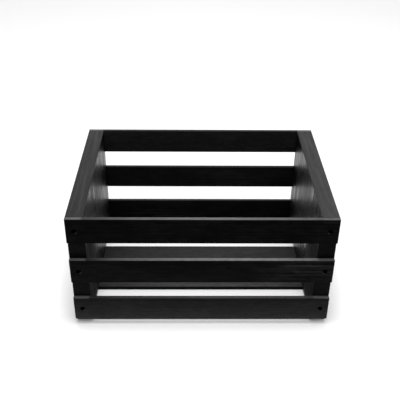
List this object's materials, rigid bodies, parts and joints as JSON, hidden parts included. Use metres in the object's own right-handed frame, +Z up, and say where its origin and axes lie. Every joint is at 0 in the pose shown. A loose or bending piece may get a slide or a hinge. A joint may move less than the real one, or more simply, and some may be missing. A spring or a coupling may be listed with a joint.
{
  "type": "slatted wooden crate",
  "caption": "Open-topped black stained wooden crate with solid end panels, spaced side and bottom slats, and a sunk screw at each slat end.",
  "frame": {"origin": "on the surface the crate stands on, in the middle of its footprint", "axes": "+X along the slats to the right, +Y from the front to the back, +Z up"},
  "size_m": [0.305, 0.22, 0.1535],
  "materials": {
    "panel_wood": "black stain, satin, straight grain from front to back",
    "slat_wood": "black stain, satin, straight grain along the slat",
    "screw_steel": "black coated steel, dull"
  },
  "bodies": {
    "root": {"left_end_panel": "panel_wood", "right_end_panel": "panel_wood", "front_slat_bottom": "slat_wood", "front_slat_middle": "slat_wood", "front_slat_top": "slat_wood", "back_slat_bottom": "slat_wood", "back_slat_middle": "slat_wood", "back_slat_top": "slat_wood", "floor_slat_front": "slat_wood", "floor_slat_mid_front": "slat_wood", "floor_slat_mid_back": "slat_wood", "floor_slat_back": "slat_wood", "front_bottom_screws": "screw_steel", "front_middle_screws": "screw_steel", "front_top_screws": "screw_steel", "back_bottom_screws": "screw_steel", "back_middle_screws": "screw_steel", "back_top_screws": "screw_steel", "floor_front_screws": "screw_steel", "floor_mid_front_screws": "screw_steel", "floor_mid_back_screws": "screw_steel", "floor_back_screws": "screw_steel"}
  },
  "joints": []
}
